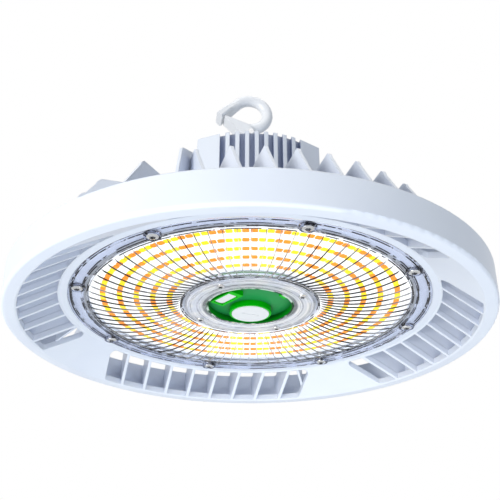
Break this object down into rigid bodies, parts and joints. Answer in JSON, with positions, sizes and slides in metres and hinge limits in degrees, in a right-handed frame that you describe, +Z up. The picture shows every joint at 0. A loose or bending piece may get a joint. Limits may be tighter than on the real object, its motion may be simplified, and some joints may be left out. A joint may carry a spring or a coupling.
{
  "type": "high bay light",
  "caption": "Round high bay LED light: a finned, slotted casting under a grooved driver housing, hung from a hook with a spring latch, with a clear ribbed lens and a sensor bay.",
  "frame": {"origin": "on the light's axis, in the plane of the bottom of the rim", "axes": "+Z up along the axis, from the rim to the hook; the four groups of parallel fins and slots point along +X, +Y, -X and -Y"},
  "size_m": [0.33, 0.33, 0.1985],
  "materials": {
    "white_casting": "white powder coat on die-cast aluminium",
    "clear_lens": "clear moulded polycarbonate",
    "steel_screws": "bright zinc",
    "dark_seal": "matte silicone",
    "white_board": "white solder mask",
    "orange_phosphor": "phosphor in a moulded package",
    "yellow_phosphor": "phosphor in a moulded package",
    "grey_pad": "matte",
    "green_moulding": "moulded, satin",
    "white_moulding": "moulded, satin",
    "black_moulding": "moulded, matte",
    "red_insulation": "wire insulation",
    "green_laminate": "circuit board",
    "yellow_winding": "taped winding",
    "capacitor_sleeve": "sleeved can",
    "white_steel": "white powder coat on steel",
    "spring_wire": "bright wire"
  },
  "bodies": {
    "fixture": {"heat_sink": "white_casting", "lens_cover": "clear_lens", "lens_screws": "steel_screws", "lens_inner_screws": "steel_screws", "lens_seal_outer": "dark_seal", "lens_seal_inner": "dark_seal", "led_board": "white_board", "leds_warm": "orange_phosphor", "leds_cool": "yellow_phosphor", "board_screws": "steel_screws", "thermal_pad": "grey_pad", "bay_cup": "green_moulding", "bay_cap": "white_moulding", "bay_cap_seal": "dark_seal", "sensor_socket": "black_moulding", "bay_gasket": "dark_seal", "selector_block": "white_moulding", "led_leads": "red_insulation", "lead_grommet": "dark_seal", "sensor_leads": "black_moulding", "driver_board": "green_laminate", "driver_screws": "steel_screws", "driver_transformer": "yellow_winding", "driver_capacitors": "capacitor_sleeve", "driver_housing": "white_casting", "housing_gasket": "dark_seal", "housing_screws": "steel_screws", "hook_eye": "white_steel", "latch_pin": "steel_screws", "latch_spring": "spring_wire", "hook_washer": "steel_screws", "hook_nut": "steel_screws", "gland_body": "black_moulding", "gland_nut": "black_moulding", "gland_seal": "dark_seal", "gland_locknut": "black_moulding", "breather_valve": "black_moulding"},
    "latch": {"hook_latch": "white_steel"}
  },
  "joints": [
    {"name": "latch_hinge", "type": "hinge", "parent": "fixture", "child": "latch", "pos_m": [0, 0, 0.161], "axis": [0.1616, 0.9869, 0], "range_deg": [0, 48], "stiffness_Nm_per_rad": 0.05, "springref_deg": -28.65}
  ]
}
